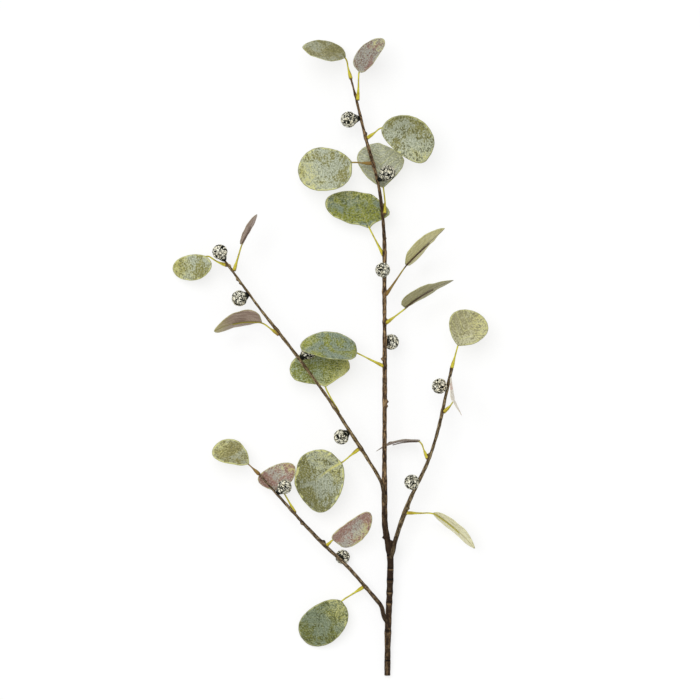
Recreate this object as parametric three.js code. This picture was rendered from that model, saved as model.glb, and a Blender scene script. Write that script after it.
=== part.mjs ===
// A eucalyptus branch with three side shoots, lying on a flat surface: brown moulded stems, round leaves
// whose fabric blades are glued on yellow plastic stalks, and round seed heads on short necks.
// Units are millimetres. The layout below has its origin at the cut end of the main stem: +X to the right,
// +Y from the cut end towards the top leaves, +Z up from the surface. The last lines move the origin to the
// middle of the branch, on the surface.
import * as THREE from "three";

// Driving dimensions
const GAP = 0.35; // between pieces that touch
const BLADE_THICKNESS = 0.8;
const BLADE_END_HALF_WIDTH = 1.2; // of a blade, at its base and its tip
const COLLAR_RADIUS = 1.5; // of a leaf stalk, where it leaves its stem
const COLLAR_SHARE = 0.28; // of a stalk's free length
const STALK_RADIUS = 0.85; // of a leaf stalk, past its collar
const SPINE_RADIUS = 0.55; // of a leaf stalk, at its end under the blade
const SPINE_SHARE = 0.6; // of a blade's length that its stalk runs along
const NECK_RADIUS = 1.5; // of a seed head's neck
const FOLD_POWER = 1.6; // 1 folds a blade to a V, 2 to a round trough
const NECK_LEAD = 0.05; // of a blade's length: how far before its base a neck would close

// Facets
const STEM_SIDES = 8;
const STALK_SIDES = 6;
const STALK_STEPS = 11;
const BLADE_ROWS = 10;
const BLADE_COLUMNS = 4;
const SEED_SIDES = 9;
const SEED_ARC_STEPS = 6;

const BARK = { color: 0x5f4c3f, roughness: 0.8, metalness: 0 };
const STALK = { color: 0xb9b12c, roughness: 0.5, metalness: 0 };
const SEED = { color: 0x3b3d33, roughness: 0.9, metalness: 0 };
const BLADE = {
  sage: { color: 0x8b9a78, roughness: 0.75, metalness: 0 },
  olive: { color: 0x8f946f, roughness: 0.75, metalness: 0 },
  rose: { color: 0xa39a91, roughness: 0.75, metalness: 0 },
  mauve: { color: 0x85746f, roughness: 0.75, metalness: 0 },
  pale: { color: 0xb4b49a, roughness: 0.75, metalness: 0 },
};

// Each stem's middle line from its root to its end, as [x, y, z, radius]. Y rises all along a stem.
const STEMS = {
  main_stem: {
    steps: 36,
    points: [
      [0, -2.4, 3.6, 3.3],
      [0.6, 49, 9, 3.3],
      [2.5, 95, 14, 3.3],
      [2.6, 133, 18, 3.7],
      [-2.4, 158, 20.5, 3.2],
      [-3.5, 204, 25, 2.9],
      [-3.4, 256, 28.6, 2.5],
      [-3.1, 340, 32, 2.35],
      [-3.4, 427, 33, 2.25],
      [-3.6, 480, 32.8, 1.95],
      [-9.4, 536, 31, 1.75],
      [-24.6, 593, 29, 1.6],
      [-37.6, 646, 26.6, 1.3],
      [-40.3, 656, 26, 1.1],
    ],
  },
  lower_left_branch: {
    steps: 18,
    points: [
      [-3.9, 63, 13.8, 1.6],
      [-5, 71, 14.6, 2.1],
      [-10.8, 80, 15.4, 2.3],
      [-18.8, 89.5, 16.4, 2.3],
      [-27.6, 100, 17.4, 2.1],
      [-45.2, 119.7, 19.4, 1.9],
      [-66, 139, 22, 1.8],
      [-85.8, 159, 24, 1.7],
      [-125, 202, 25.5, 1.4],
      [-141.5, 220.5, 25, 1],
    ],
  },
  upper_left_branch: {
    steps: 24,
    points: [
      [-4.2, 197, 29.8, 1.4],
      [-7.2, 212, 31, 1.9],
      [-19.8, 234, 32.5, 1.9],
      [-44, 271.5, 34.4, 1.8],
      [-59.6, 295.7, 35, 1.75],
      [-97.5, 348, 35.5, 1.65],
      [-124, 382, 35, 1.6],
      [-139.8, 402, 34, 1.5],
      [-170.5, 444, 31.5, 1.3],
      [-179.2, 455.5, 30.6, 1.1],
    ],
  },
  right_branch: {
    steps: 20,
    points: [
      [6, 136, 23.8, 2],
      [9.2, 150, 24.8, 2.5],
      [23, 189, 27.5, 2.2],
      [44.8, 236, 31, 1.9],
      [55.6, 270, 33, 1.7],
      [65.6, 315, 34.5, 1.5],
      [70.4, 337, 34.5, 1.6],
    ],
  },
};

// Each leaf: the stem and the height where its stalk leaves, the blade's base and tip, its roll in degrees about
// the line from base to tip (0 faces up, 180 shows its underside), and, as shares of its length or half width, its
// arch, fold and sideways bow. right and left give each half's width, how sharply its outline closes at the base
// and at the tip, and the share of the length over which it flares out of a narrow neck. slant moves the right edge
// towards the tip and the left edge back, by that share of the half width. stalk moves the middle of the stalk's
// free length aside. A stalk with no `at` leaves the very end of its stem.
const LEAVES = [
  {
    stem: "main_stem",
    base: [-45.8, 680, 30], tip: [-94, 690.5, 38], tone: "olive",
    roll: 50, bow: -0.01, right: [15.5, 0.42, 0.6], left: [22.5, 0.9, 0.8],
  },
  {
    stem: "main_stem", at: 628,
    base: [-32.2, 664.8, 30], tip: [-4.6, 699.5, 38], tone: "rose",
    roll: -42, slant: 0.1, bow: 0.02, right: [16.5, 0.45, 0.55], left: [15, 0.3, 0.5],
  },
  {
    stem: "main_stem", at: 590,
    base: [-6.6, 602.1, 34], tip: [48.5, 573.5, 40], tone: "sage",
    roll: 12, bow: 0.06, right: [20, 0.55, 0.3], left: [25.5, 0.45, 0.4],
  },
  {
    stem: "main_stem", at: 563,
    base: [-39.3, 564.4, 29], tip: [-99, 554.5, 16], tone: "sage",
    roll: 10, bow: 0.05, right: [24.5, 0.75, 0.6], left: [26, 0.3, 0.42],
  },
  {
    stem: "main_stem", at: 501, stalk: [2, 0, 3],
    base: [-4.6, 537, 22], tip: [-9.5, 586.5, 3], tone: "olive",
    roll: 0, right: [26, 1.1, 1.1], left: [26, 0.75, 0.45],
  },
  {
    stem: "main_stem", at: 459,
    base: [-20, 492, 21], tip: [-38, 533, 4], tone: "sage",
    roll: 0, slant: -0.52, right: [28, 0.35, 0.45, 0.35], left: [35.5, 0.35, 0.45, 0.2],
  },
  {
    stem: "main_stem", at: 416,
    base: [19.4, 451.3, 37], tip: [63.7, 491, 44], tone: "olive",
    roll: 250, arch: 0.02, fold: 0.1, right: [23, 0.7, 0.7], left: [22, 0.3, 1.5],
  },
  {
    stem: "main_stem", at: 386,
    base: [18.6, 404.3, 36], tip: [73, 434.3, 40], tone: "olive",
    roll: 250, arch: 0.06, fold: 0.08, slant: -0.3, right: [20, 0.35, 0.75], left: [16, 0.5, 0.75],
  },
  {
    stem: "main_stem", at: 339,
    base: [-34.1, 355.5, 40], tip: [-96, 362, 46], tone: "sage",
    roll: 45, bow: -0.03, right: [19.5, 0.28, 0.45], left: [23.5, 0.38, 0.5],
  },
  {
    stem: "upper_left_branch", at: 285,
    base: [-68.1, 316.3, 26], tip: [-75, 358, 4], tone: "sage",
    roll: 0, slant: -0.06, right: [30, 0.4, 0.42, 0.3], left: [36, 0.35, 0.42, 0.22],
  },
  {
    stem: "upper_left_branch", at: 450, stalk: [0, -1, -4],
    base: [-200, 461, 25], tip: [-229.2, 436.7, 10], tone: "sage",
    roll: 5, slant: 0.47, right: [17.2, 0.55, 0.5], left: [16.5, 0.45, 0.5],
  },
  {
    stem: "upper_left_branch", at: 443,
    base: [-161.8, 473.9, 36], tip: [-143.8, 506.7, 42], tone: "mauve",
    roll: 257, arch: 0, fold: 0.06, right: [13.5, 0.45, 0.35], left: [13, 0.45, 0.35],
  },
  {
    stem: "upper_left_branch", at: 372,
    base: [-138.3, 388.4, 35], tip: [-190.9, 378, 38], tone: "mauve",
    roll: 117, arch: 0.1, fold: 0.2, right: [20, 0.9, 0.6], left: [20, 0.3, 0.75],
  },
  {
    stem: "right_branch",
    base: [77.7, 362.6, 37], tip: [100.2, 397.9, 33], tone: "olive",
    roll: 5, bow: 0.08, right: [22.5, 0.75, 0.5], left: [21.5, 0.62, 0.5],
  },
  {
    stem: "right_branch", at: 287, stalk: [2.5, 1.5, -2.5],
    base: [73.5, 301.3, 42], tip: [69, 305.3, 77], tone: "rose",
    roll: 58, fold: 0.12, right: [25, 0.5, 0.5], left: [20, 0.5, 0.5],
  },
  {
    stem: "right_branch", at: 236,
    base: [35.8, 257.5, 28], tip: [-13.3, 245, 6], tone: "mauve",
    roll: 97, arch: 0.08, right: [12, 0.5, 1.1], left: [12, 0.5, 1.1],
  },
  {
    stem: "right_branch", at: 178,
    base: [50.9, 178.4, 29], tip: [96.1, 138.6, 20.5], tone: "pale",
    roll: 250, arch: 0.05, fold: 0.1, right: [15, 0.5, 0.7], left: [24, 0.5, 0.62],
  },
  {
    stem: "upper_left_branch", at: 250,
    base: [-50.7, 233.3, 33], tip: [-93.2, 191.6, 19], tone: "sage",
    roll: 0, slant: -0.12, bow: -0.09, right: [30.5, 0.33, 0.45], left: [33, 0.6, 0.4],
  },
  {
    stem: "lower_left_branch",
    base: [-153, 232.2, 26], tip: [-191.5, 250.8, 16], tone: "olive",
    roll: 30, bow: -0.07, right: [14.5, 0.7, 0.5], left: [19, 0.8, 0.5],
  },
  {
    stem: "lower_left_branch", at: 175,
    base: [-115.5, 202.5, 16], tip: [-123.5, 230.5, 5], tone: "rose",
    roll: 0, slant: 0.05, right: [20.5, 0.75, 0.5], left: [23.5, 0.7, 0.5],
  },
  {
    stem: "lower_left_branch", at: 141,
    base: [-59.5, 147.4, 26], tip: [-19.5, 178.5, 36], tone: "rose",
    roll: 38, bow: -0.05, right: [18, 0.16, 0.42], left: [15, 0.35, 0.38],
  },
  {
    stem: "lower_left_branch", at: 97,
    base: [-50.6, 80, 14], tip: [-89.9, 33.6, 3], tone: "sage",
    roll: 0, right: [22.5, 0.62, 0.42], left: [23, 0.42, 0.5],
  },
];

// Each seed head: the stem and the height where its neck leaves, its middle and its radius.
const SEED_HEADS = [
  { stem: "main_stem", at: 613, middle: [-42.8, 611.5, 28], radius: 8.8 },
  { stem: "main_stem", at: 544, middle: [0, 552.4, 37], radius: 8.6 },
  { stem: "main_stem", at: 445.5, middle: [-5.4, 445.5, 46], radius: 8.1 },
  { stem: "main_stem", at: 366.4, middle: [4, 366.4, 23.6], radius: 8.5 },
  { stem: "upper_left_branch", at: 455.5, middle: [-184.7, 465.4, 33], radius: 8.3 },
  { stem: "upper_left_branch", at: 419, middle: [-163, 414.5, 33], radius: 8.7 },
  { stem: "upper_left_branch", at: 347, middle: [-86.9, 355.9, 31], radius: 8.4 },
  { stem: "upper_left_branch", at: 268, middle: [-50.9, 261.8, 32], radius: 8.3 },
  { stem: "right_branch", at: 315, middle: [57.2, 317.8, 40.5], radius: 8.4 },
  { stem: "right_branch", at: 212, middle: [26.7, 212.1, 38], radius: 8.3 },
  { stem: "lower_left_branch", at: 199, middle: [-113.6, 206.6, 28], radius: 7.8 },
  { stem: "lower_left_branch", at: 127, middle: [-49.6, 128.7, 8.2], radius: 7.9 },
];

const UP = new THREE.Vector3(0, 0, 1);
const vector = (point) => new THREE.Vector3(point[0], point[1], point[2]);
const numbered = (name, index) => `${name}_${String(index + 1).padStart(2, "0")}`;

// A list of values read between its entries, at share 0 to 1 of the list.
function between(values, share) {
  const place = share * (values.length - 1);
  const first = Math.min(Math.floor(place), values.length - 2);
  return THREE.MathUtils.lerp(values[first], values[first + 1], place - first);
}

// A closed tube along a curve, with radiusAt(share of the curve's own parameter). A cylinder is bent to the curve.
function tube(curve, radiusAt, sides, steps) {
  const geometry = new THREE.CylinderGeometry(1, 1, 1, sides, steps);
  const frames = curve.computeFrenetFrames(steps, false);
  const position = geometry.getAttribute("position");
  for (let i = 0; i < position.count; i++) {
    const step = Math.round((position.getY(i) + 0.5) * steps);
    const radius = radiusAt(curve.getUtoTmapping(step / steps));
    const point = curve.getPointAt(step / steps);
    point.addScaledVector(frames.binormals[step], position.getX(i) * radius);
    point.addScaledVector(frames.normals[step], position.getZ(i) * radius);
    position.setXYZ(i, point.x, point.y, point.z);
  }
  return geometry;
}

function stemCurve(stem) {
  return new THREE.CatmullRomCurve3(STEMS[stem].points.map(vector));
}

function stemRadius(stem, share) {
  return between(STEMS[stem].points.map((point) => point[3]), share);
}

// Where a stem's middle line reaches the height y: the point, the stem's direction and its radius there.
function stemAt(stem, y = Infinity) {
  const curve = stemCurve(stem);
  let low = 0;
  let high = 1;
  for (let i = 0; i < 30; i++) {
    const middle = (low + high) / 2;
    if (curve.getPoint(middle).y < y) low = middle;
    else high = middle;
  }
  return { point: curve.getPoint(low), along: curve.getTangent(low), radius: stemRadius(stem, low) };
}

// The blade's frame: origin at its base, y along to its tip, z out of its upper face, x to its right.
function bladeFrame(leaf) {
  const along = vector(leaf.tip).sub(vector(leaf.base));
  const length = along.length();
  along.normalize();
  const left = new THREE.Vector3().crossVectors(UP, along).normalize();
  left.applyAxisAngle(along, THREE.MathUtils.degToRad(leaf.roll));
  const right = left.negate();
  const face = new THREE.Vector3().crossVectors(right, along);
  const matrix = new THREE.Matrix4().makeBasis(right, along, face).setPosition(vector(leaf.base));
  return { matrix, length };
}

// Half the blade's width at share t of its length, on the side of v, widest where the two tapers balance.
function halfWidth(leaf, t, v) {
  const [half, atBase, atTip, neck = 0] = v < 0 ? leaf.left : leaf.right;
  const widest = atBase / (atBase + atTip);
  const shape = (t / widest) ** atBase * ((1 - t) / (1 - widest)) ** atTip;
  const flare = neck > 0 ? THREE.MathUtils.smoothstep(t, -NECK_LEAD, neck) : 1;
  return Math.max(half * shape * flare, BLADE_END_HALF_WIDTH);
}

// A point of the blade's middle surface in its own frame: t from base to tip, v from -1 at its left to 1.
function bladePoint(leaf, length, t, v) {
  const { arch = 0.06, fold = 0.12, bow = 0, slant = 0 } = leaf;
  const hump = 4 * t * (1 - t) * length;
  const half = halfWidth(leaf, t, v);
  const x = half * v - bow * hump;
  const z = arch * hump + fold * half * Math.abs(v) ** FOLD_POWER;
  return new THREE.Vector3(x, t * length + slant * half * v, z);
}

// A flat box of rows and columns, bent to the blade. Rows are closer together at the base and the tip.
function bladeGeometry(leaf, length) {
  const geometry = new THREE.BoxGeometry(2, 1, BLADE_THICKNESS, BLADE_COLUMNS, BLADE_ROWS, 1);
  const position = geometry.getAttribute("position");
  for (let i = 0; i < position.count; i++) {
    const t = (1 + Math.sin(Math.PI * position.getY(i))) / 2;
    const point = bladePoint(leaf, length, t, position.getX(i));
    position.setXYZ(i, point.x, point.y, point.z + position.getZ(i));
  }
  return geometry;
}

// How far from the stem's middle line a stalk starts, so that its collar just clears the bark.
function stalkClearance(leaf, stem, away) {
  const lean = Math.abs(away.dot(stem.along));
  const side = Math.sqrt(1 - lean * lean);
  if (leaf.at === undefined) return 2 * GAP + (COLLAR_RADIUS + stem.radius) * side;
  return (stem.radius + GAP + COLLAR_RADIUS * lean) / side;
}

// From just off the stem to the blade's base, then on under the blade's middle.
function stalkCurve(leaf, frame) {
  const depth = BLADE_THICKNESS / 2 + GAP + STALK_RADIUS;
  const under = (t) => {
    const point = bladePoint(leaf, frame.length, t, 0);
    point.z -= depth;
    return point.applyMatrix4(frame.matrix);
  };
  const stem = stemAt(leaf.stem, leaf.at);
  const end = under(0);
  const middle = stem.point.clone().add(end).multiplyScalar(0.5);
  middle.add(vector(leaf.stalk ?? [0, 0, 0]));
  const away = middle.clone().sub(stem.point).normalize();
  const start = stem.point.clone().addScaledVector(away, stalkClearance(leaf, stem, away));
  const spine = [0.12, 0.28, 0.44, SPINE_SHARE].map(under);
  return new THREE.CatmullRomCurve3([start, middle, end, ...spine]);
}

function stalkRadius(share) {
  const free = 1 / 3; // the share of the curve's points before the blade
  if (share < free * COLLAR_SHARE) return COLLAR_RADIUS;
  if (share < free) {
    const past = (share / free - COLLAR_SHARE) / (1 - COLLAR_SHARE);
    return THREE.MathUtils.lerp(COLLAR_RADIUS, STALK_RADIUS, Math.min(1, 2 * past));
  }
  return THREE.MathUtils.lerp(STALK_RADIUS, SPINE_RADIUS, (share - free) / (1 - free));
}

// A ball on a straight neck, turned about y, with the neck's end at the origin.
function seedGeometry(reach, radius) {
  const opening = Math.asin(NECK_RADIUS / radius);
  const profile = [new THREE.Vector2(0, 0), new THREE.Vector2(NECK_RADIUS, 0)];
  for (let i = 0; i < SEED_ARC_STEPS; i++) {
    const angle = opening + ((Math.PI - opening) * i) / SEED_ARC_STEPS;
    profile.push(new THREE.Vector2(radius * Math.sin(angle), reach - radius * Math.cos(angle)));
  }
  profile.push(new THREE.Vector2(0, reach + radius));
  return new THREE.LatheGeometry(profile, SEED_SIDES);
}

function named(name, geometry, finish) {
  const mesh = new THREE.Mesh(geometry, new THREE.MeshStandardMaterial(finish));
  mesh.name = name;
  return mesh;
}

const branch = new THREE.Group();

for (const [name, { steps }] of Object.entries(STEMS)) {
  const radiusAt = (share) => stemRadius(name, share);
  branch.add(named(name, tube(stemCurve(name), radiusAt, STEM_SIDES, steps), BARK));
}

LEAVES.forEach((leaf, index) => {
  const frame = bladeFrame(leaf);
  const blade = named(numbered("leaf_blade", index), bladeGeometry(leaf, frame.length), BLADE[leaf.tone]);
  blade.applyMatrix4(frame.matrix);
  const stalk = tube(stalkCurve(leaf, frame), stalkRadius, STALK_SIDES, STALK_STEPS);
  branch.add(blade, named(numbered("leaf_stalk", index), stalk, STALK));
});

SEED_HEADS.forEach((seed, index) => {
  const stem = stemAt(seed.stem, seed.at);
  const away = vector(seed.middle).sub(stem.point);
  const clear = stem.radius + GAP;
  const head = named(numbered("seed_head", index), seedGeometry(away.length() - clear, seed.radius), SEED);
  away.normalize();
  head.quaternion.setFromUnitVectors(new THREE.Vector3(0, 1, 0), away);
  head.position.copy(stem.point).addScaledVector(away, clear);
  branch.add(head);
});

const bounds = new THREE.Box3().setFromObject(branch, true);
const middle = bounds.getCenter(new THREE.Vector3());
branch.position.set(-middle.x, -middle.y, -bounds.min.z);

export default branch;
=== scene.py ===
"""The looks of a eucalyptus branch that lies on a pale floor, seen from straight above.

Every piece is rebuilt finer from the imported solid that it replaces: the stems and the leaf stalks from the
rings of their tubes, the leaf blades from their rims and their bend, and the seed heads from their ball and
neck. Lengths are in metres, and names that end in _MM are in millimetres.
"""

import math

import bmesh
import bpy
import numpy as np
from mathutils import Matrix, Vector


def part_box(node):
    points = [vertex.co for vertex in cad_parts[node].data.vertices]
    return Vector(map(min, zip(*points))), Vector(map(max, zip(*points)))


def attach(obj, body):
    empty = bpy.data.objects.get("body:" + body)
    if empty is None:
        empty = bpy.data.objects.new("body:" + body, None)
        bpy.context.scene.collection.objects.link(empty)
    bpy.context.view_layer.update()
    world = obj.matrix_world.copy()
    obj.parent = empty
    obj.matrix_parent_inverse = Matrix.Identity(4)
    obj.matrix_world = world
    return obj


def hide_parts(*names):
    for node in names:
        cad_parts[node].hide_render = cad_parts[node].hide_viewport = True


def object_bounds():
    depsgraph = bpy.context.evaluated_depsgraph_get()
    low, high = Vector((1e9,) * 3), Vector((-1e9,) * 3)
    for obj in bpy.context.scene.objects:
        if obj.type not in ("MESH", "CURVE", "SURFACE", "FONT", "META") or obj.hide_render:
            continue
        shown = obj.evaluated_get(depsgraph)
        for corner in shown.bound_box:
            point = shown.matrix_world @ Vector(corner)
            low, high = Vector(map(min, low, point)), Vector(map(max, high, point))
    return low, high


MM = 0.001

# Camera, light and floor
VIEW_WIDTH = 0.77  # what the picture spans at the branch
VIEW_MIDDLE = (0.0221, 0.0084)  # from the middle of the branch
CAMERA_DISTANCE = 6
SENSOR_MM = 36
SKY_STRENGTH = 0.5
SUN_STRENGTH = 1.75
SUN_SPREAD = 50  # degrees
SUN_DIRECTION = (0.22, -0.3, -1)
FLOOR_HALF = 8
FLOOR_GREY = 0.3
FLOOR_EMISSION = 0.7  # with the light on it, this makes the floor white

# Stems: the tone of each, and what stands out of its bark
STEM_SIDES = 24
STEM_STEP_MM = 1.6
STEM_LINE_STEP_MM = 2
STEM_ROOT_MM = 9  # how far down the main stem a side shoot's root reaches inside it
STEM_ROOT_SHARE = 0.95  # the least radius of a side shoot's first ring, as a share of its second one's
STEM_TONES = {
    "main_stem": {"dark": "35281c", "mid": "725a40", "light": "a58963"},
    "lower_left_branch": {"dark": "382c20", "mid": "6c5a40", "light": "9d8a6e"},
    "upper_left_branch": {"dark": "453728", "mid": "7a6744", "light": "a89570"},
    "right_branch": {"dark": "3c3022", "mid": "715f42", "light": "9d8c6a"},
}
# The aged bark's tone, also used for the painted shadow under leaf 5
BARK_AGED_AND_SHADOW = "2b1e15"
BARK_LINE = "120c08"
# The bark's aged tone sets in between the first length and the second: along the main stem, along a side
# shoot, and from the middle of the painted shadow under leaf 5, which uses the same dark tone. Low on the
# main stem it is a little weaker.
AGED_TRUNK_MM = (240, 140)
AGED_SHOOT_MM = (50, 15)
PAINTED_SHADOW_SPREAD_MM = (45, 12)
PAINTED_SHADOW_MM = 512
WEAKER_BELOW_MM = (60, 110)
RIDGES_MM = (0.14, 0.09)
SWELLS_MM = (0.16, 0.1)
NICKS_MM = 0.12
ROOT_SWELL_MM, ROOT_SWELL_WIDTH_MM = 0.4, 24  # a side shoot's thicker start
JOINT_SWELL_MM, JOINT_SWELL_WIDTH_MM = 0.4, 4  # where a stalk leaves the stem
# Wraps of the main stem: the height above the cut end, the width and the swelling. Each is a light ring, a
# painted highlight, with a dark line above it.
WRAPS_MM = [
    (15, 4, 0.35),
    (48, 5, 0.45),
    (80, 5, 0.3),
    (92, 5, 0.35),
    (105, 6, 0.3),
    (118, 9, 0.3),
    (132, 5, 0.2),
]
WRAP_HIGHLIGHT_WIDTH_MM = 1.3
WRAP_DARK_WIDTH_MM = 1.5
WRAP_DARK_ABOVE_MM = 2.2
# Knobs: the stem, the height above the cut end, the side in degrees (0 right, 90 up, 180 left), the size and
# the width. The first one fills the fork, and the second is the stump beside it.
KNOBS_MM = [
    ("main_stem", 140, 5, 3.2, 9),
    ("main_stem", 147.5, 15, 3.8, 2.8),
    ("main_stem", 154, 170, 2.2, 2.4),
    ("main_stem", 298.4, 10, 1.6, 2.4),
    ("main_stem", 303.4, 5, 2, 2.4),
    ("main_stem", 350.4, 175, 2.2, 2.4),
    ("main_stem", 393.4, 15, 1.8, 2.4),
    ("main_stem", 483.4, 60, 1.8, 2.4),
    ("main_stem", 598.4, 30, 1.8, 2.4),
    ("upper_left_branch", 434.4, 200, 1.5, 2.4),
    ("upper_left_branch", 438.4, 190, 1.7, 2.4),
    ("upper_left_branch", 452.4, 10, 1.4, 2.4),
    ("lower_left_branch", 147.4, 20, 2, 2.4),
    ("lower_left_branch", 169.9, 200, 1.7, 2.4),
    ("right_branch", 186.4, 20, 1.8, 2.4),
    ("right_branch", 244.4, 170, 2, 2.4),
]
KNOB_RADIUS_MM = 2.2  # about a stem's radius: it turns an angle round the stem into a distance
STEM_SEED = 7  # the first stem's random draws

# Stalks
STALK_SIDES = 12
STALK_STEP_MM = 1.2
STALK_ROOT_MM = 1.4  # how near to its stem's middle line a stalk's collar reaches
STALK_REACH_MM = 10  # and how far at most it is lengthened to do so
JOINT_REACH_MM = 6  # how far from a stem's middle line its own stalks start at most
# The collar, the waist beyond it and the knuckle at the stem: the length along the stalk, the width, the size
STALK_BUMPS_MM = [(4, 7, 0.5), (13, 5, -0.1), (1.5, 1.8, 0.3)]
STALK_RIDGES_MM = (0.05, 0.04)
STALK_TONES = {
    "yellow": "d0ca3c",
    "olive": "a29326",
    "light": "e2dc74",
    "collar": "b5992a",
    "root": "6f542c",
    "brown": "7c5a34",
}
BROWN_STALKS = {4: 0.75, 7: 1.0, 13: 0.2, 19: 0.8}  # share of brown; the others are yellow
# The colours of spines that differ from their stalks, by leaf
SPINES = {7: "513a22", 8: "55422a", 12: "7b675b", 13: "8d8232", 16: "76665a", 17: "b4ac50"}

# Seed heads
SEED_DETAIL = 5
SEED_HEAD_SEED = 100
SEED_LUMPS = 46
SEED_LUMP_MM = 0.75
LUMP_SCATTER = 0.09
LUMP_EDGE = 0.22  # radians over which a lump rises
LUMP_SUNK = 0.75  # the share of a lump's height that is below the ball's radius
NECK_SPREAD = 1.0  # radians of the ball, round its neck, that taper into the neck
NECK_CONE = 0.75  # the share of that taper which is the neck's side; the rest closes its end
NECK_END_MM = 2.1  # the neck's radius at the stem
NECK_PAST_END_MM = 1.2  # how far the neck reaches past the solid's, into the stem
SEED_TONES = {"ground": ("070805", "191b12"), "cream": ("fffdea", "e6dfc0")}

# Leaf blades
BLADE_SEED = 200
BLADE_SPOKES = 72
BLADE_RINGS = 14
BLADE_THICKNESS_MM = 0.6
SPINE_GAP_MM = 3.2  # a stalk is the blade's spine from where it is this near to the blade
SPINE_STEP_MM = 1
CREASE_DEPTH_MM, CREASE_WIDTH_MM, CREASE_LENGTH_MM = 0.7, 2.5, 40  # along the midrib, deepest at the base
MIDRIB_END = 0.06  # the midrib's fitted line is followed this far along the blade
FIT_SCALE = 20  # brings a blade's coordinates near 1 for the fit of its bend
RIM_STEP = 2.0  # degrees between the places where the rim is read
RIM_POINTS = 720  # of the rim when it is smoothed
RIM_WINDOW = 9  # over how many of these points to either side
LEAF_KINDS = {
    "frosted": {"leaf": "878446", "frost": "a7ad96", "light": "d4d9c4", "spot": "56562a", "under": "85856c"},
    "green": {"leaf": "70752e", "frost": "7c8869", "light": "abb59c", "spot": "42471a", "under": "797a58"},
    "vivid": {"leaf": "8a8f27", "frost": "7c8a76", "light": "b0b8a0", "spot": "3a4519", "under": "797a58"},
    "olive": {"leaf": "7f7a46", "frost": "9a9d86", "light": "bfba8e", "spot": "56532e", "under": "b4ad70"},
    "plain": {"leaf": "8c8f78", "frost": "a0a491", "light": "c2c4b2", "spot": "66664c", "under": "9a966c"},
    "rose": {"leaf": "987468", "frost": "a5a296", "light": "cfcbbf", "spot": "74503f", "under": "e6d6cc"},
    "mauve": {"leaf": "83705f", "frost": "96867a", "light": "a59482", "spot": "64503f", "under": "867060"},
    "pale": {"leaf": "99946a", "frost": "aeac88", "light": "c8c6a4", "spot": "6a6748", "under": "cdc8a0"},
}
RIM = "dcdc8e"
GLOW = "cfcb78"
VEIN_SLOPE = 0.75  # how far a vein runs along the blade for each length across it
VEIN_SPACING_MM = 8.5
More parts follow.
